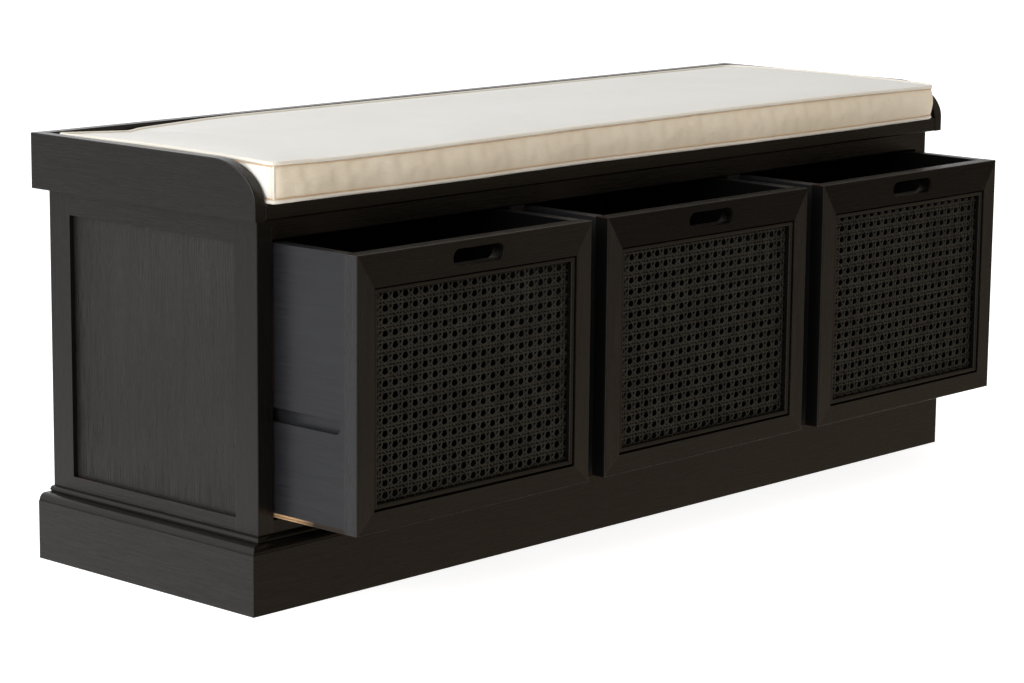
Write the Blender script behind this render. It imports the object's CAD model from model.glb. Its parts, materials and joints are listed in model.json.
import json
import math
import random

import bpy
import numpy as np
from mathutils import Matrix, Vector


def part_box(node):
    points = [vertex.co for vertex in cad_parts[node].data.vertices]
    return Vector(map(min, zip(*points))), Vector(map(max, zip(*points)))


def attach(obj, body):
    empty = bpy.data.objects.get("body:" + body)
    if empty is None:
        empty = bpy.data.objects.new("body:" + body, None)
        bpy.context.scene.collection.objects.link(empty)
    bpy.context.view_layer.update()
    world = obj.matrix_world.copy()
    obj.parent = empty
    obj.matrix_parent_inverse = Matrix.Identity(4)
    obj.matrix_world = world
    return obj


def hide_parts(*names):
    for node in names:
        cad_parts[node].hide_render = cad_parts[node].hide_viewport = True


# Storage bench: paint, wood and metal on the CAD pieces, woven cane in the drawer fronts,
# a piped box cushion, a white floor and a soft studio light.
#
# Metres. The origin is on the floor, in the middle of the underside of the plinth's front
# board. +X points to the right of somebody facing the drawers, +Y to the back, +Z up.

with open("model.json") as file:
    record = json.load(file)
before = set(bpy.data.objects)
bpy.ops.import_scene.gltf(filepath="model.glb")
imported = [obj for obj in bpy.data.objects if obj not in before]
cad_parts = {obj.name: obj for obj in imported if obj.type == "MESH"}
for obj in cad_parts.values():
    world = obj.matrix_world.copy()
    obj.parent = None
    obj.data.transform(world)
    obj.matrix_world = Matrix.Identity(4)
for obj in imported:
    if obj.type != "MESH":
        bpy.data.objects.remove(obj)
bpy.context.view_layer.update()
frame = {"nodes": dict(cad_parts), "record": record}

nodes = frame["nodes"]
scene = bpy.context.scene

# ---------------------------------------------------------------- camera

CAMERA_PLACE = Vector((-2.3568, -2.0203, 0.7613))
CAMERA_YAW = math.radians(47.144)
CAMERA_PITCH = math.radians(-10.567)
CAMERA_ROLL = math.radians(-0.5556)
CAMERA_LENS = 109.65
CAMERA_SENSOR = 36.0
CAMERA_CLIP = (0.05, 60.0)


def make_camera():
    data = bpy.data.cameras.new("camera")
    data.lens = CAMERA_LENS
    data.sensor_width = CAMERA_SENSOR
    data.clip_start, data.clip_end = CAMERA_CLIP
    camera = bpy.data.objects.new("camera", data)
    scene.collection.objects.link(camera)
    forward = Vector((
        math.sin(CAMERA_YAW) * math.cos(CAMERA_PITCH),
        math.cos(CAMERA_YAW) * math.cos(CAMERA_PITCH),
        math.sin(CAMERA_PITCH),
    ))
    level = Vector((math.cos(CAMERA_YAW), -math.sin(CAMERA_YAW), 0.0))
    upright = level.cross(forward)
    right = level * math.cos(CAMERA_ROLL) - upright * math.sin(CAMERA_ROLL)
    up = right.cross(forward)
    turn = Matrix((right, up, -forward)).transposed().to_4x4()
    camera.matrix_world = Matrix.Translation(CAMERA_PLACE) @ turn
    scene.camera = camera


# ---------------------------------------------------------------- shader nodes

def new_material(name):
    material = bpy.data.materials.new(name)
    material.use_nodes = True
    tree = material.node_tree
    tree.nodes.clear()
    output = tree.nodes.new("ShaderNodeOutputMaterial")
    shader = tree.nodes.new("ShaderNodeBsdfPrincipled")
    tree.links.new(shader.outputs["BSDF"], output.inputs["Surface"])
    return material, tree, shader


def put(tree, socket, value):
    """Link a socket, or set a number or a colour on it."""
    if isinstance(value, bpy.types.NodeSocket):
        tree.links.new(value, socket)
    elif isinstance(value, tuple) and len(value) == 3 and socket.type == "RGBA":
        socket.default_value = (*value, 1.0)
    else:
        socket.default_value = value


def add(tree, kind, inputs=(), **settings):
    """A new node with its settings, and its inputs linked or set."""
    node = tree.nodes.new(kind)
    for key, value in settings.items():
        setattr(node, key, value)
    for key, value in dict(inputs).items():
        put(tree, node.inputs[key], value)
    return node


def coordinates(tree, scale=(1, 1, 1)):
    """Place on the object in metres, times a scale along each axis."""
    place = add(tree, "ShaderNodeTexCoord").outputs["Object"]
    return add(tree, "ShaderNodeMapping", {"Vector": place, "Scale": scale}).outputs["Vector"]


def noise(tree, scale, detail=3.0, roughness=0.5):
    """Soft noise with so many features to the metre along each axis."""
    vector = coordinates(tree, scale)
    settings = {"Vector": vector, "Scale": 1.0, "Detail": detail, "Roughness": roughness}
    return add(tree, "ShaderNodeTexNoise", settings).outputs["Fac"]


def ramp(tree, value, *stops):
    """Colours or grey levels at stops along a value from 0 to 1."""
    node = add(tree, "ShaderNodeValToRGB")
    elements = node.color_ramp.elements
    while len(elements) < len(stops):
        elements.new(0.5)
    for element, (position, colour) in zip(elements, stops):
        element.position = position
        element.color = (*colour, 1.0) if isinstance(colour, tuple) else (colour, colour, colour, 1.0)
    tree.links.new(value, node.inputs["Fac"])
    return node.outputs["Color"]


def mix(tree, factor, a, b, blend="MIX"):
    node = add(tree, "ShaderNodeMix", data_type="RGBA", blend_type=blend)
    put(tree, node.inputs[0], factor)
    put(tree, node.inputs[6], a)
    put(tree, node.inputs[7], b)
    return node.outputs[2]


def calc(tree, operation, a, b=0.0):
    return add(tree, "ShaderNodeMath", {0: a, 1: b}, operation=operation).outputs[0]


def dot(tree, a, b):
    return add(tree, "ShaderNodeVectorMath", {0: a, 1: b}, operation="DOT_PRODUCT").outputs["Value"]


def half_up(tree, value):
    """A value from -1 to 1 brought to 0 to 1."""
    return calc(tree, "ADD", calc(tree, "MULTIPLY", value, 0.5), 0.5)


def axis_parts(tree, vector):
    split = add(tree, "ShaderNodeSeparateXYZ", {"Vector": vector})
    return [split.outputs[i] for i in range(3)]


def bump(tree, shader, *layers):
    """Stack of (height socket, distance in metres, strength)."""
    normal = None
    for height, distance, strength in layers:
        node = add(tree, "ShaderNodeBump", {"Height": height, "Distance": distance, "Strength": strength})
        if normal is not None:
            tree.links.new(normal, node.inputs["Normal"])
        normal = node.outputs["Normal"]
    tree.links.new(normal, shader.inputs["Normal"])


def edge_mask(tree, radius):
    """1 close to a convex or concave edge of the piece, 0 elsewhere."""
    rounded = add(tree, "ShaderNodeBevel", {"Radius": radius}, samples=4)
    flat = add(tree, "ShaderNodeNewGeometry")
    straight = dot(tree, rounded.outputs["Normal"], flat.outputs["Normal"])
    return ramp(tree, straight, (0.76, 1.0), (0.95, 0.0))


# ---------------------------------------------------------------- materials

# Dark and light shades, as linear colours
PAINT = ((0.0030, 0.0027, 0.0022), (0.0068, 0.0061, 0.0051))
CROSS_PAINT = ((0.0020, 0.0017, 0.0014), (0.0050, 0.0044, 0.0036))
STILE_PAINT = ((0.0012, 0.0010, 0.0008), (0.0105, 0.0094, 0.0078))
PANEL_PAINT = ((0.0006, 0.0006, 0.0006), (0.0150, 0.0140, 0.0125))
BOX_PAINT = ((0.0058, 0.0060, 0.0068), (0.0145, 0.0149, 0.0165))
INSIDE_PAINT = ((0.0025, 0.0024, 0.0023), (0.0060, 0.0057, 0.0054))
RAW_PLY = ((0.17, 0.095, 0.045), (0.42, 0.27, 0.14))
BARE_WOOD = ((0.30, 0.19, 0.10), (0.50, 0.36, 0.21))
STEEL = ((0.36, 0.35, 0.33), (0.58, 0.57, 0.54))
CANE = ((0.0036, 0.0034, 0.0027), (0.0160, 0.0150, 0.0116))
CANE_FIBRE = (0.034, 0.031, 0.023)
RUB_THROUGH = (0.070, 0.020, 0.010)

GLOSS = 0.32
PLAIN_TINT = (1.0, 1.0, 1.0, 1.0)
WARM_TINT = (1.0, 0.95, 0.90, 1.0)

# Features to the metre across and along the grain
FINE_GRAIN = (1100, 26)
BROAD_GRAIN = (150, 6)

# Where the paint differs from the plain kind of its slot: end of the piece's name, and kind
LOOKS = (
    ("_end_panel", "_panel"),
    ("_front_post", "_worn"),
    ("_end_bottom_rail", "_worn"),
    ("left_drawer_front_left_stile", "_end_stile"),
    ("_front_left_stile", "_gap_stile"),
    ("_front_right_stile", "_stile"),
    ("left_drawer_front_top_rail", "_dim"),
    ("_drawer_front_top_rail", "_dark"),
    ("_left_side", "_left"),
    ("_right_side", "_right"),
    ("_drawer_back", "_back"),
)


def black(shades, roughness, pore_depth, **more):
    return dict(shades=shades, roughness=roughness, pore_depth=pore_depth, tint=WARM_TINT, **more)


def box_paint(inside):
    return dict(shades=BOX_PAINT, roughness=0.34, pore_depth=0.00005, inside=inside)


FINISHES = {
    "black_paint": black(PAINT, 0.25, 0.00006),
    "black_paint_worn": black(PAINT, 0.25, 0.00006, wear=0.9),
    "black_paint_panel": black(PANEL_PAINT, 0.28, 0.00024, gloss=0.28),
    "black_paint_stile": black(STILE_PAINT, 0.25, 0.00014, wear=0.6),
    "black_paint_end_stile": black(STILE_PAINT, 0.25, 0.00014, wear=0.6, end=(-1, 0, 0)),
    "black_paint_gap_stile": black(STILE_PAINT, 0.25, 0.00014, wear=1.0, inside=(-1, 0, 0)),
    "black_paint_dim": black(CROSS_PAINT, 0.27, 0.00012, gloss=0.20),
    "black_paint_dark": black(CROSS_PAINT, 0.27, 0.00012, gloss=0.08),
    "drawer_box_paint_left": box_paint((1, 0, 0)),
    "drawer_box_paint_right": box_paint((-1, 0, 0)),
    "drawer_box_paint_back": box_paint((0, -1, 0)),
    "inside_paint": dict(shades=INSIDE_PAINT, roughness=0.60, pore_depth=0.00010),
    "bare_wood": dict(shades=BARE_WOOD, roughness=0.60, pore_depth=0.00010),
}


def grain_scale(axis, grain):
    across, along = grain
    return tuple(along if letter == axis else across for letter in "xyz")


def facing(tree, direction):
    """1 on the faces turned towards a direction, 0 on the others."""
    normal = add(tree, "ShaderNodeNewGeometry").outputs["Normal"]
    return ramp(tree, dot(tree, normal, direction), (0.80, 0.0), (0.95, 1.0))


def rubbed_edges(tree, wear):
    """Patches along the edges where the paint is rubbed through."""
    patch = noise(tree, (16, 16, 16), detail=5.0, roughness=0.6)
    worn = calc(tree, "MULTIPLY", edge_mask(tree, 0.0011), ramp(tree, patch, (0.40, 0.12), (0.60, 1.0)))
    return calc(tree, "MULTIPLY", worn, wear)


def wood(name, axis, shades, roughness, pore_depth, gloss=GLOSS, tint=PLAIN_TINT,
         wear=0.0, end=None, inside=None):
    """Fine open grain along an axis, with broader figure and soft clouding under it.
    The faces turned towards end are in the drawer box's paint; those turned towards
    inside are matt and nearly black."""
    material, tree, shader = new_material(name)
    dark, light = shades
    fine = noise(tree, grain_scale(axis, FINE_GRAIN), detail=4.0, roughness=0.6)
    broad = noise(tree, grain_scale(axis, BROAD_GRAIN))
    cloud = noise(tree, (8, 8, 8), detail=2.0)
    pores = ramp(tree, fine, (0.36, 0.0), (0.50, 1.0))
    figure = calc(tree, "ADD", calc(tree, "MULTIPLY", fine, 0.75), calc(tree, "MULTIPLY", broad, 0.25))
    colour = ramp(tree, figure, (0.34, dark), (0.66, light))
    colour = mix(tree, 0.3, colour, ramp(tree, cloud, (0.3, dark), (0.7, light)))
    rough = ramp(tree, fine, (0.3, roughness - 0.04), (0.7, roughness + 0.05))
    shader.inputs["Specular IOR Level"].default_value = gloss
    shader.inputs["Specular Tint"].default_value = tint
    if end:
        colour = mix(tree, facing(tree, end), colour, BOX_PAINT[1])
    if inside:
        within = facing(tree, inside)
        colour = mix(tree, within, colour, INSIDE_PAINT[0])
        rough = mix(tree, within, rough, (0.7, 0.7, 0.7))
        tree.links.new(ramp(tree, within, (0.0, gloss), (1.0, 0.06)), shader.inputs["Specular IOR Level"])
    if wear:
        colour = mix(tree, rubbed_edges(tree, wear), colour, RUB_THROUGH)
    tree.links.new(colour, shader.inputs["Base Color"])
    tree.links.new(rough, shader.inputs["Roughness"])
    bump(tree, shader, (pores, pore_depth, 0.6), (broad, 0.00006, 0.1))
    return material


def plywood():
    """Dark-painted faces; raw edges with thin dark and pale plies, oversprayed towards the front."""
    material, tree, shader = new_material("plywood")
    shape = add(tree, "ShaderNodeNewGeometry")
    level = calc(tree, "ABSOLUTE", axis_parts(tree, shape.outputs["Normal"])[2])
    height = axis_parts(tree, coordinates(tree, (1, 1, 2400)))[2]
    layers = calc(tree, "MULTIPLY", calc(tree, "SINE", height), 0.22)
    plies = calc(tree, "ADD", layers, noise(tree, (220, 220, 1600), detail=4.0))
    raw = ramp(tree, plies, (0.25, RAW_PLY[0]), (0.75, RAW_PLY[1]))
    smear = calc(tree, "MULTIPLY", noise(tree, (30, 30, 60)), 0.3)
    forward = calc(tree, "MULTIPLY", axis_parts(tree, coordinates(tree))[1], -10.0)
    overspray = ramp(tree, calc(tree, "ADD", forward, smear), (0.28, 0.0), (0.62, 0.95))
    raw = mix(tree, overspray, raw, INSIDE_PAINT[1])
    grain = noise(tree, (18, 900, 900))
    paint = ramp(tree, grain, (0.35, INSIDE_PAINT[0]), (0.65, INSIDE_PAINT[1]))
    colour = mix(tree, ramp(tree, level, (0.4, 0.0), (0.6, 1.0)), raw, paint)
    tree.links.new(colour, shader.inputs["Base Color"])
    tree.links.new(ramp(tree, grain, (0.3, 0.55), (0.7, 0.7)), shader.inputs["Roughness"])
    shader.inputs["Specular IOR Level"].default_value = 0.15
    bump(tree, shader, (grain, 0.0001, 0.4), (plies, 0.0001, 0.3))
    return material


def screw_steel():
    """Turned steel, finely ringed."""
    material, tree, shader = new_material("screw_steel")
    turned = noise(tree, (300, 2600, 2600))
    colour = ramp(tree, turned, (0.35, STEEL[0]), (0.65, STEEL[1]))
    tree.links.new(colour, shader.inputs["Base Color"])
    tree.links.new(ramp(tree, turned, (0.3, 0.28), (0.7, 0.45)), shader.inputs["Roughness"])
    shader.inputs["Metallic"].default_value = 1.0
    bump(tree, shader, (turned, 0.00004, 0.4))
    return material


def cane():
    """Black-stained rattan skin: fibres, paler where the stain is thin; dull down in the weave."""
    material, tree, shader = new_material("black_cane")
    fibre = noise(tree, (1700, 1700, 1700))
    patch = noise(tree, (70, 70, 70))
    colour = ramp(tree, patch, (0.30, CANE[0]), (0.70, CANE[1]))
    colour = mix(tree, ramp(tree, fibre, (0.45, 0.0), (0.70, 0.35)), colour, CANE_FIBRE)
    tree.links.new(colour, shader.inputs["Base Color"])
    tree.links.new(ramp(tree, fibre, (0.3, 0.28), (0.7, 0.42)), shader.inputs["Roughness"])
    open_sky = add(tree, "ShaderNodeAmbientOcclusion", {"Distance": 0.0022}, samples=6).outputs["AO"]
    tree.links.new(ramp(tree, open_sky, (0.35, 0.03), (0.85, 0.42)), shader.inputs["Specular IOR Level"])
    bump(tree, shader, (fibre, 0.00008, 0.5))
    return material


# Cotton: turns of the thread's wave in a metre (radians), and pale and warm colours
THREAD_RATE = 5200
TOP_COTTON = ((0.700, 0.703, 0.677), (0.675, 0.673, 0.643))
BOXING_COTTON = ((0.80, 0.72, 0.585), (0.75, 0.655, 0.50))
BOXING_LEFT = (0.78, 0.76, 0.71)
WELT_COTTON = ((0.76, 0.74, 0.67), (0.72, 0.68, 0.59))
SEAM_THREAD = ((0.60, 0.38, 0.21), (0.74, 0.52, 0.33))


def gathered(tree):
    """Small slanting puckers along the front seam, strongest near the left end."""
    x, y = axis_parts(tree, coordinates(tree))[:2]
    slant = calc(tree, "MULTIPLY", calc(tree, "ADD", x, calc(tree, "MULTIPLY", y, 0.6)), 1500.0)
    ridges = half_up(tree, calc(tree, "SINE", slant))
    near_seam = ramp(tree, calc(tree, "MULTIPLY", y, -100.0), (0.05, 0.0), (0.95, 1.0))
    leftward = ramp(tree, calc(tree, "ADD", calc(tree, "MULTIPLY", x, -1.0), 0.5), (0.35, 0.1), (0.95, 1.0))
    uneven = ramp(tree, noise(tree, (90, 20, 20), detail=2.0), (0.35, 0.2), (0.6, 1.0))
    strength = calc(tree, "MULTIPLY", calc(tree, "MULTIPLY", near_seam, leftward), uneven)
    return calc(tree, "MULTIPLY", ridges, strength)


def canvas(name, pale, warm, gathers=False, left=None):
    """Plain-weave cotton: threads both ways on every face, slubs, and soft clouding.
    The faces turned to the left may have a colour of their own."""
    material, tree, shader = new_material(name)
    normals = axis_parts(tree, add(tree, "ShaderNodeNewGeometry").outputs["Normal"])
    threads = axis_parts(tree, coordinates(tree, (THREAD_RATE, THREAD_RATE, THREAD_RATE)))
    woven = 0.0
    for thread, normal in zip(threads, normals):
        across = calc(tree, "SUBTRACT", 1.0, calc(tree, "POWER", calc(tree, "ABSOLUTE", normal), 2.0))
        woven = calc(tree, "ADD", calc(tree, "MULTIPLY", calc(tree, "SINE", thread), across), woven)
    slub_x = noise(tree, (40, 1300, 1300), detail=2.0)
    slub_y = noise(tree, (1300, 60, 1300), detail=2.0)
    slub = calc(tree, "ADD", slub_x, slub_y)
    cloud = noise(tree, (12, 12, 12))
    shaded = tuple(c * 0.86 for c in warm)
    colour = ramp(tree, cloud, (0.3, warm), (0.7, pale))
    colour = mix(tree, ramp(tree, slub, (0.75, 0.0), (1.35, 0.22)), colour, shaded)
    if left:
        colour = mix(tree, facing(tree, (-1, 0, 0)), colour, left)
    tree.links.new(colour, shader.inputs["Base Color"])
    tree.links.new(ramp(tree, slub, (0.7, 0.82), (1.3, 0.95)), shader.inputs["Roughness"])
    shader.inputs["Specular IOR Level"].default_value = 0.25
    shader.inputs["Sheen Weight"].default_value = 0.15
    layers = [(woven, 0.00012, 0.35), (slub, 0.0003, 0.3), (cloud, 0.002, 0.25)]
    if gathers:
        layers.append((gathered(tree), 0.0009, 0.7))
    bump(tree, shader, *layers)
    return material


def seam_thread():
    """Tan twisted thread beside each welt."""
    material, tree, shader = new_material("seam_thread")
    twist = noise(tree, (900, 900, 900), detail=2.0)
    colour = ramp(tree, twist, (0.35, SEAM_THREAD[0]), (0.65, SEAM_THREAD[1]))
    tree.links.new(colour, shader.inputs["Base Color"])
    tree.links.new(ramp(tree, twist, (0.3, 0.75), (0.7, 0.9)), shader.inputs["Roughness"])
    bump(tree, shader, (twist, 0.0002, 0.5))
    return material


def finish(slot, axis):
    """The material of a slot, with its grain along an axis."""
    if slot not in FINISHES:
        return {"plywood": plywood, "screw_steel": screw_steel}[slot]()
    look = dict(FINISHES[slot])
    if look["shades"] is PAINT and axis == "x":
        look["shades"] = CROSS_PAINT
    return wood(slot + "_" + axis, axis, **look)


def paint_nodes():
    """A material for each slot and grain direction, on every CAD node that stays in sight."""
    made = {}
    for part in frame["record"]["subparts"]:
        name = part["node"]
        slot = part["material_slot"]
        if slot in ("black_cane", "cushion_cotton"):
            continue
        slot += next((kind for ending, kind in LOOKS if name.endswith(ending)), "")
        lo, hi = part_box(name)
        longest = max(range(3), key=lambda i: (hi - lo)[i])
        key = (slot, "xyz"[longest] if slot in FINISHES else "")
        if key not in made:
            made[key] = finish(*key)
        nodes[name].data.materials.clear()
        nodes[name].data.materials.append(made[key])


# ---------------------------------------------------------------- mesh helpers

def mesh_object(name, vertices, faces, material, smooth=True):
    mesh = bpy.data.meshes.new(name)
    mesh.from_pydata(vertices, [], faces)
    mesh.materials.append(material)
    mesh.update()
    if smooth:
        mesh.shade_smooth()
    made = bpy.data.objects.new(name, mesh)
    scene.collection.objects.link(made)
    return made


class Sweeps:
    """Collects swept strips and cords into one mesh."""

    def __init__(self):
        self.vertices = []
        self.faces = []

    def add(self, centres, sides, ups, profile, closed=False):
        """Profile points are (along side, along up) offsets round each centre."""
        first = len(self.vertices)
        count = len(profile)
        for centre, side, up in zip(centres, sides, ups):
            self.vertices.extend(tuple(centre + side * a + up * b) for a, b in profile)
        rings = len(centres)
        for ring in range(rings if closed else rings - 1):
            here = first + ring * count
            there = first + ((ring + 1) % rings) * count
            for i in range(count):
                j = (i + 1) % count
                self.faces.append((here + i, here + j, there + j, there + i))
        if not closed:
            last = first + (rings - 1) * count
            self.faces.append(tuple(first + i for i in reversed(range(count))))
            self.faces.append(tuple(last + i for i in range(count)))


def circle(radius, count):
    angles = [2 * math.pi * i / count for i in range(count)]
    return [(radius * math.cos(angle), radius * math.sin(angle)) for angle in angles]


# ---------------------------------------------------------------- cane webbing

# Distance between pairs, and from a pair's middle to each strand, across (x) and up (z)
CANE_PITCH = (0.0127, 0.0113)
PAIR_OFFSET = (0.00200, 0.00171)
CANE_MARGIN = 0.0006

# How the strands differ: a factor on the width, and how far and how fast they wander
STRAND_WIDTH = 0.00228
STRAND_THICKNESS = 0.0009
STRAND_UNEVEN = (0.93, 1.06)
STRAND_DRIFT = (0.00005, 0.00016)
DRIFT_RATE = 95.0

# How far a strand stands from the middle of the sheet where it crosses another, where in
# a cell a paired strand is level again, and how long a diagonal stays at its full rise
PLAIN_RISE = 0.00040
DIAGONAL_RISE = 0.00076
LEVEL_FROM = 0.30
DIAGONAL_STEPS = 6
DIAGONAL_HOLD = 1.9

# Each drawer's uppermost left hole, from the sheet's top left corner, and a seed
DRAWER_CANE = (
    ("left_drawer", (0.0083, 0.0100), 11),
    ("middle_drawer", (0.0098, 0.0120), 12),
    ("right_drawer", (0.0087, 0.0070), 13),
)


def strand_profile(width):
    """Flat back, domed front; the front is towards -Y."""
    half = width / 2
    t = STRAND_THICKNESS / 2
    return [
        (-half, 0.4 * t),
        (-0.6 * half, -0.6 * t),
        (0, -1.15 * t),
        (0.6 * half, -0.6 * t),
        (half, 0.4 * t),
        (0, 0.8 * t),
    ]


def weave(drawer, first_hole, seed):
    """Six-way cane: upright and level pairs woven plain, and single diagonals each way."""
    lo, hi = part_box(drawer + "_cane_panel")
    rng = random.Random(seed)
    centre_y = (lo.y + hi.y) / 2
    low = (lo.x + CANE_MARGIN, lo.z + CANE_MARGIN)
    high = (hi.x - CANE_MARGIN, hi.z - CANE_MARGIN)
    cross = (lo.x + first_hole[0] - CANE_PITCH[0] / 2, hi.z - first_hole[1] + CANE_PITCH[1] / 2)
    strands = Sweeps()

    def lay(path, direction):
        """One strand through points (x, z, rise), clipped to the sheet."""
        side = Vector((direction[1], 0.0, -direction[0])).normalized()
        width = STRAND_WIDTH * rng.uniform(*STRAND_UNEVEN)
        phase = rng.uniform(0, 6.28)
        drift = rng.uniform(*STRAND_DRIFT)
        centres = []
        for x, z, rise in path:
            if low[0] <= x <= high[0] and low[1] <= z <= high[1]:
                wander = drift * math.sin(phase + DRIFT_RATE * (x + 0.7 * z))
                centres.append(Vector((x, centre_y + rise, z)) + side * wander)
        if len(centres) > 2:
            count = len(centres)
            strands.add(centres, [side] * count, [Vector((0, 1, 0))] * count, strand_profile(width))

    def pairs(way):
        """Both strands of every pair; way 0 is the upright ones and way 1 the level ones."""
        other = 1 - way
        near_cross = PAIR_OFFSET[other] / CANE_PITCH[other]
        first = math.floor((low[other] - cross[other]) / CANE_PITCH[other]) - 1
        last = math.ceil((high[other] - cross[other]) / CANE_PITCH[other]) + 1
        index = math.floor((low[way] - cross[way]) / CANE_PITCH[way])
        while cross[way] + index * CANE_PITCH[way] <= high[way] + PAIR_OFFSET[way]:
            for member in (-1, 1):
                line = cross[way] + index * CANE_PITCH[way] + member * PAIR_OFFSET[way]
                over = member if way else -member
                crossing = ((-near_cross, over), (0, 0), (near_cross, -over))
                knots = ((-0.5, 0), (-LEVEL_FROM, 0), *crossing, (LEVEL_FROM, 0))
                path = []
                for cell in range(first, last):
                    for along, level in knots:
                        run = cross[other] + (cell + along) * CANE_PITCH[other]
                        point = (run, line) if way else (line, run)
                        path.append((*point, level * PLAIN_RISE))
                lay(path, (1, 0) if way else (0, 1))
            index += 1

    def diagonals(slope):
        """Single strands that rise or fall to the right, over one pair and under the other."""
        cells = [math.ceil((high[i] - low[i]) / CANE_PITCH[i]) + 2 for i in range(2)]
        base_x = cross[0] - CANE_PITCH[0]
        base_z = cross[1] - (cells[1] + 1) * CANE_PITCH[1]
        for line in range(-cells[1] - 2, sum(cells) + 4):
            path = []
            for step in range((cells[0] + 2) * DIAGONAL_STEPS):
                across = step / DIAGONAL_STEPS
                up = (across - line - 0.5) if slope > 0 else (line + 0.5 - across)
                level = max(-1.0, min(1.0, DIAGONAL_HOLD * math.cos(2 * math.pi * across)))
                rise = -slope * (level * DIAGONAL_RISE)
                path.append((base_x + across * CANE_PITCH[0], base_z + up * CANE_PITCH[1], rise))
            lay(path, (CANE_PITCH[0], slope * CANE_PITCH[1]))

    pairs(0)
    pairs(1)
    diagonals(1)
    diagonals(-1)
    made = mesh_object(drawer + "_cane_weave", strands.vertices, strands.faces, cane_material)
    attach(made, drawer)
    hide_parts(drawer + "_cane_panel")


# ---------------------------------------------------------------- cushion

CELL = 0.0062
LAYERS = 7

# Radii of the piping, the threads and the corner seams
WELT = 0.0020
THREAD = 0.00042
CORNER_SEAM = 0.0012
# How far a thread stands out from its welt's middle, and clear of the welt; and how far
# out the corner seams stay, as a share
THREAD_OUT = 0.0010
THREAD_GAP = 0.0003
CORNER_SEAM_DRAW = 0.999

# How much smaller than the CAD cushion the cover starts, (x, y) at its low and high sides,
# and the radii of its corners in plan, by (left or right, front or back)
INSET_LOW = (0.0016, 0.0020)
INSET_HIGH = (0.0034, 0.0016)
PLAN_RADIUS = {(-1, -1): 0.005, (1, -1): 0.020, (1, 1): 0.013, (-1, 1): 0.010}
# The front edge at even steps from the left end to the right (m): how far it stands
# forward, and how far the upper seam stands over its usual height
FRONT_BOW = (0.0, 0.001, 0.004, 0.004, 0.0, -0.002, 0.0, 0.002, 0.004, 0.005, 0.005, 0.003, 0.0)
FRONT_RISE = (0.0, -0.0014, -0.0008, 0.0, 0.0, 0.0004, 0.001, 0.0018, 0.0024, 0.0024, 0.002, 0.001, -0.0004)
# Where the back edge sags near the left end: distance from the end, and depth (m)
BACK_SAG = ((0.0, 0.088, 0.100, 0.185, 0.225), (0.0, 0.0050, 0.0034, 0.0006, 0.0))
# How far the upper seam rises halfway along each end, and how far in that reaches
SIDE_RISE = 0.002
SIDE_REACH = 0.08
# How far the boxing stands out halfway up, how much more at the right end, and the
# lengths and depths of the small folds that run round it
BULGE = 0.0022
BULGE_RIGHT = 0.0014
FOLDS = ((0.019, 0.00013), (0.029, 0.00020), (0.043, 0.00026), (0.071, 0.00030))
# The cloth's pressure and steps, how firmly the upright edges are held, how far points may
# move, and how far past the CAD cushion the cover may swell at the ends and the back
PRESSURE = 3.5
CLOTH_STEPS = 20
UPRIGHT_HOLD = 0.6
PANEL_CAP = 0.006
BOXING_CAP = 0.0028
END_SWELL = 0.0018
BACK_SWELL = 0.004


def eased(values, t):
    """Smooth curve through evenly spaced values; t from 0 to 1."""
    place = min(max(t, 0.0), 1.0) * (len(values) - 1)
    index = min(int(place), len(values) - 2)
    f = place - index
    f = f * f * (3 - 2 * f)
    return values[index] * (1 - f) + values[index + 1] * f


def rounded_plan(x, y, low, high):
    """Move a plan point so that the corners are rounded; also gives the way out there."""
    side = (-1 if 2 * x < low.x + high.x else 1, -1 if 2 * y < low.y + high.y else 1)
    edge = (low.x if side[0] < 0 else high.x, low.y if side[1] < 0 else high.y)
    radius = PLAN_RADIUS[side]
    a, b = (max(0.0, 1 - abs(value - limit) / radius) for value, limit in zip((x, y), edge))
    if a > 0 and b > 0:
        a, b = a * math.sqrt(1 - b * b / 2), b * math.sqrt(1 - a * a / 2)
        x = edge[0] - side[0] * radius * (1 - a)
        y = edge[1] - side[1] * radius * (1 - b)
        return x, y, Vector((side[0] * a, side[1] * b, 0)).normalized()
    return x, y, Vector((side[0], 0, 0)) if a > b else Vector((0, side[1], 0))


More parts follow.
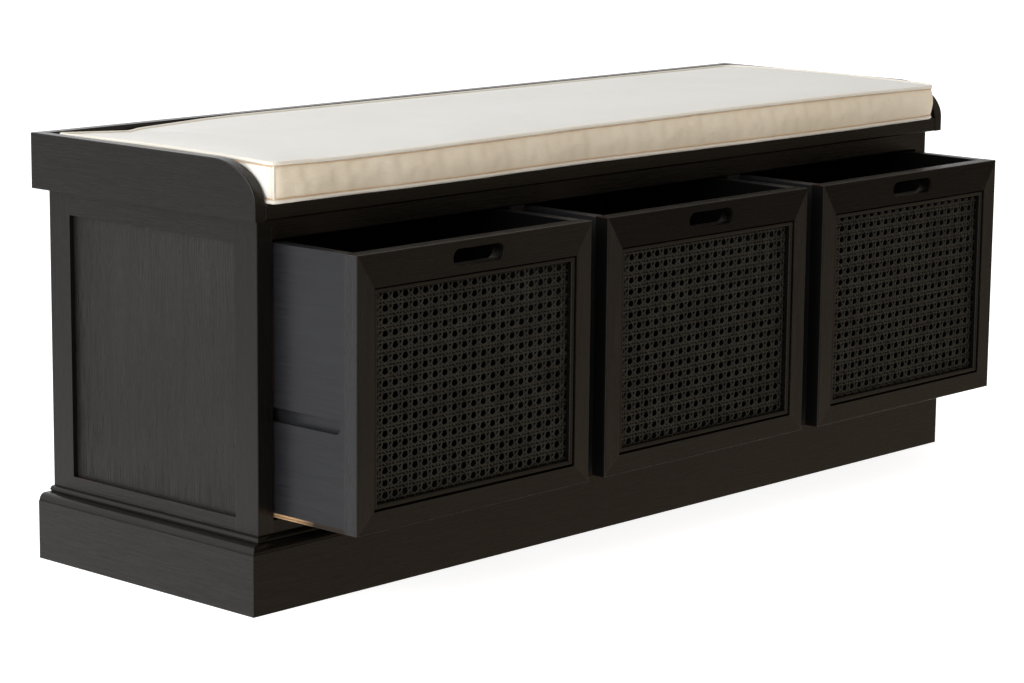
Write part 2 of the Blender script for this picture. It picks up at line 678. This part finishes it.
def cushion_grid(lo, hi):
    """Closed box of quads, a little smaller than the CAD cushion. Returns its vertices and
    faces, how many of the faces are top or bottom, its rims, upright edges and boxing."""
    rng = random.Random(5)
    low = Vector((lo.x + INSET_LOW[0], lo.y + INSET_LOW[1], lo.z + WELT))
    high = Vector((hi.x - INSET_HIGH[0], hi.y - INSET_HIGH[1], hi.z - WELT))
    size = high - low
    nx = round(size.x / CELL)
    ny = round(size.y / CELL)
    nz = LAYERS
    index = {}
    vertices = []
    faces = []

    def corner(i, j, k):
        if (i, j, k) not in index:
            index[i, j, k] = len(vertices)
            steps = zip(low, size, (i, j, k), (nx, ny, nz))
            vertices.append(Vector([start + length * step / count for start, length, step, count in steps]))
        return index[i, j, k]

    def quad(*places):
        faces.append(tuple(corner(*place) for place in places))

    for i in range(nx):
        for j in range(ny):
            quad((i, j, nz), (i + 1, j, nz), (i + 1, j + 1, nz), (i, j + 1, nz))
            quad((i, j, 0), (i, j + 1, 0), (i + 1, j + 1, 0), (i + 1, j, 0))
    flat = len(faces)
    for k in range(nz):
        for i in range(nx):
            quad((i, 0, k), (i + 1, 0, k), (i + 1, 0, k + 1), (i, 0, k + 1))
            quad((i, ny, k), (i, ny, k + 1), (i + 1, ny, k + 1), (i + 1, ny, k))
        for j in range(ny):
            quad((0, j, k), (0, j, k + 1), (0, j + 1, k + 1), (0, j + 1, k))
            quad((nx, j, k), (nx, j + 1, k), (nx, j + 1, k + 1), (nx, j, k + 1))

    waves = [(2 * math.pi / length, rng.uniform(0, 6.28), rng.uniform(-2.5, 2.5), depth)
             for length, depth in FOLDS]
    for (i, j, k), number in index.items():
        point = vertices[number]
        u = i / nx
        v = j / ny
        w = k / nz
        from_end = min(u, 1 - u) * size.x
        lift = eased(FRONT_RISE, u) * (1 - v) ** 2
        lift += SIDE_RISE * math.sin(math.pi * v) * max(0.0, 1 - from_end / SIDE_REACH)
        lift -= np.interp(u * size.x, *BACK_SAG) * v ** 3
        run = point.x + point.y
        point.x, point.y, out = rounded_plan(point.x, point.y, low, high)
        point.y -= eased(FRONT_BOW, u) * (1 - v) ** 3
        point.z += lift * w
        if i in (0, nx) or j in (0, ny):
            fold = sum(
                depth * math.sin(rate * run + phase + lean * w)
                for rate, phase, lean, depth in waves
            )
            point += out * (BULGE + BULGE_RIGHT * max(out.x, 0) + fold) * math.sin(math.pi * w)

    def loop(k):
        front = [corner(i, 0, k) for i in range(nx)]
        right = [corner(nx, j, k) for j in range(ny)]
        back = [corner(i, ny, k) for i in range(nx, 0, -1)]
        left = [corner(0, j, k) for j in range(ny, 0, -1)]
        return front + right + back + left

    uprights = [[corner(i, j, k) for k in range(nz + 1)] for i, j in ((0, 0), (nx, 0), (nx, ny), (0, ny))]
    boxing = [number for key, number in index.items() if 0 < key[2] < nz]
    return vertices, faces, flat, (loop(0), loop(nz)), uprights, boxing


def inflate(cushion, rims, uprights, boxing):
    """Cloth with pressure; the sewn edges hold, and no point moves further than its cap."""
    before = np.array([v.co for v in cushion.data.vertices])
    held = cushion.vertex_groups.new(name="held")
    for ring in rims:
        held.add(ring, 1.0, "REPLACE")
    for line in uprights:
        held.add(line, UPRIGHT_HOLD, "REPLACE")
    tight = cushion.vertex_groups.new(name="tight")
    tight.add([v.index for v in cushion.data.vertices], 1.0, "REPLACE")
    tight.add(boxing, 0.0, "REPLACE")
    cloth = cushion.modifiers.new("cloth", "CLOTH")
    settings = cloth.settings
    settings.quality = 6
    settings.mass = 0.15
    settings.tension_stiffness = 12
    settings.compression_stiffness = 8
    settings.shear_stiffness = 4
    settings.bending_stiffness = 0.15
    settings.use_pressure = True
    settings.uniform_pressure_force = PRESSURE
    settings.shrink_min = -0.020
    settings.shrink_max = -0.0010
    settings.vertex_group_shrink = "tight"
    settings.vertex_group_mass = "held"
    settings.effector_weights.gravity = 0
    cloth.collision_settings.use_collision = False
    cloth.point_cache.frame_start = 1
    cloth.point_cache.frame_end = CLOTH_STEPS
    for step in range(1, CLOTH_STEPS + 1):
        scene.frame_set(step)
    shape = cushion.evaluated_get(bpy.context.evaluated_depsgraph_get())
    after = np.array([v.co for v in shape.data.vertices])
    cushion.modifiers.clear()
    scene.frame_set(1)
    cap = np.full(len(before), PANEL_CAP)
    cap[boxing] = BOXING_CAP
    move = after - before
    length = np.linalg.norm(move, axis=1)
    limit = cap * np.tanh(length / cap) / np.maximum(length, 1e-9)
    return before + move * limit[:, None]


def sew(name, lines, outs, radius, sides, material, closed):
    """Cords in one piece, along lines of points; out points away from the cushion."""
    cords = Sweeps()
    for line, out in zip(lines, outs):
        if closed:
            ups = [Vector((0, 0, 1))] * len(line)
        else:
            ups = [Vector((-o.y, o.x, 0)) for o in out]
        cords.add(line, out, ups, circle(radius, sides), closed=closed)
    made = mesh_object(name, cords.vertices, cords.faces, material)
    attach(made, "cushion")


def make_cushion():
    lo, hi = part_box("seat_cushion")
    vertices, faces, flat, rims, uprights, boxing = cushion_grid(lo, hi)
    cushion = mesh_object("cushion_cover", [tuple(v) for v in vertices], faces, cushion_material)
    cushion.data.materials.append(boxing_material)
    cushion.data.polygons.foreach_set("material_index", [int(n >= flat) for n in range(len(faces))])
    points = inflate(cushion, rims, uprights, boxing)
    points[:, 2] = np.maximum(points[:, 2], lo.z)
    points[:, 0] = np.clip(points[:, 0], lo.x - END_SWELL, hi.x + END_SWELL)
    points[:, 1] = np.minimum(points[:, 1], hi.y + BACK_SWELL)
    cushion.data.vertices.foreach_set("co", points.ravel())
    cushion.data.update()
    smooth = cushion.modifiers.new("smooth", "SUBSURF")
    smooth.levels = 1
    smooth.render_levels = 1
    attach(cushion, "cushion")
    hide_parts("seat_cushion")

    up = Vector((0, 0, 1))
    for name, ring, inward in (("lower", rims[0], 1), ("upper", rims[1], -1)):
        line = [Vector(points[i]) for i in ring]
        outs = []
        for i in range(len(line)):
            along = line[(i + 1) % len(line)] - line[i - 1]
            outs.append(Vector((along.y, -along.x, 0)).normalized())
        sew("cushion_welt_" + name, [line], [outs], WELT, 12, welt_material, True)
        thread = [p + o * THREAD_OUT + up * inward * (WELT + THREAD_GAP) for p, o in zip(line, outs)]
        sew("cushion_seam_" + name, [thread], [outs], THREAD, 6, seam_material, True)
    joins = [[Vector(points[i]) * CORNER_SEAM_DRAW for i in uprights[n]] for n in (0, 2)]
    ways = [[Vector((x, y, 0)).normalized()] * (LAYERS + 1) for x, y in ((-1, -1), (1, 1))]
    sew("cushion_corner_seams", joins, ways, CORNER_SEAM, 8, welt_material, False)


# ---------------------------------------------------------------- floor and light

FLOOR_REACH = 20.0
FLOOR_TONES = (0.54, 0.56)
FLOOR_GLOW = 0.88

# The way the surroundings darken, their tones from the far side to there, their
# brightness by height (0 is straight down, 0.5 level), and the strength of it all
DIM_WAY = (0.62, -0.78, 0.0)
SKY_TONES = ((0.42, (1.0, 1.0, 1.02)), (0.80, (0.36, 0.295, 0.222)))
SKY_LEVELS = ((0.20, 0.15), (0.34, 1.0), (0.375, 1.0), (0.425, 0.33), (0.50, 0.45), (0.53, 0.67))
SKY_STRENGTH = 1.5

# Name, place, point it faces, size, power
LIGHTS = (
    ("key_left", (-3.0, 0.5, 1.4), (0, 0.1, 0.25), (2.4, 2.0), 56),
    ("overhead", (-0.2, 0.4, 2.8), (0, 0.1, 0.3), (3.2, 2.4), 14),
)


def make_floor():
    """Plain white floor, unseen in reflections."""
    r = FLOOR_REACH
    material, tree, shader = new_material("floor_white")
    tone = noise(tree, (3, 3, 3), detail=2.0)
    colour = ramp(tree, tone, (0.3, FLOOR_TONES[0]), (0.7, FLOOR_TONES[1]))
    tree.links.new(colour, shader.inputs["Base Color"])
    shader.inputs["Roughness"].default_value = 0.8
    shader.inputs["Emission Color"].default_value = (1.0, 1.0, 1.0, 1.0)
    shader.inputs["Emission Strength"].default_value = FLOOR_GLOW
    corners = [(-r, -r, 0), (r, -r, 0), (r, r, 0), (-r, r, 0)]
    floor = mesh_object("floor", corners, [(0, 1, 2, 3)], material, smooth=False)
    floor.visible_glossy = False


def make_world():
    """Pale surroundings, dimmer and warmer towards the front right."""
    world = bpy.data.worlds.new("studio")
    scene.world = world
    world.use_nodes = True
    tree = world.node_tree
    back = tree.nodes["Background"]
    way = add(tree, "ShaderNodeTexCoord").outputs["Generated"]
    tone = ramp(tree, half_up(tree, dot(tree, way, DIM_WAY)), *SKY_TONES)
    level = ramp(tree, half_up(tree, axis_parts(tree, way)[2]), *SKY_LEVELS)
    tree.links.new(mix(tree, 1.0, tone, level, "MULTIPLY"), back.inputs["Color"])
    back.inputs["Strength"].default_value = SKY_STRENGTH


def make_lights():
    for name, place, target, size, power in LIGHTS:
        light = bpy.data.lights.new(name, "AREA")
        light.shape = "RECTANGLE"
        light.size, light.size_y = size
        light.energy = power
        lamp = bpy.data.objects.new(name, light)
        scene.collection.objects.link(lamp)
        lamp.location = place
        lamp.rotation_euler = (Vector(target) - Vector(place)).to_track_quat("-Z", "Y").to_euler()


# ---------------------------------------------------------------- whole scene

make_camera()
scene.view_settings.view_transform = "Standard"
paint_nodes()
cane_material = cane()
cushion_material = canvas("cushion_cotton", *TOP_COTTON, gathers=True)
boxing_material = canvas("boxing_cotton", *BOXING_COTTON, left=BOXING_LEFT)
welt_material = canvas("welt_cotton", *WELT_COTTON)
seam_material = seam_thread()
for drawer, first_hole, seed in DRAWER_CANE:
    weave(drawer, first_hole, seed)
make_cushion()
make_floor()
make_world()
make_lights()
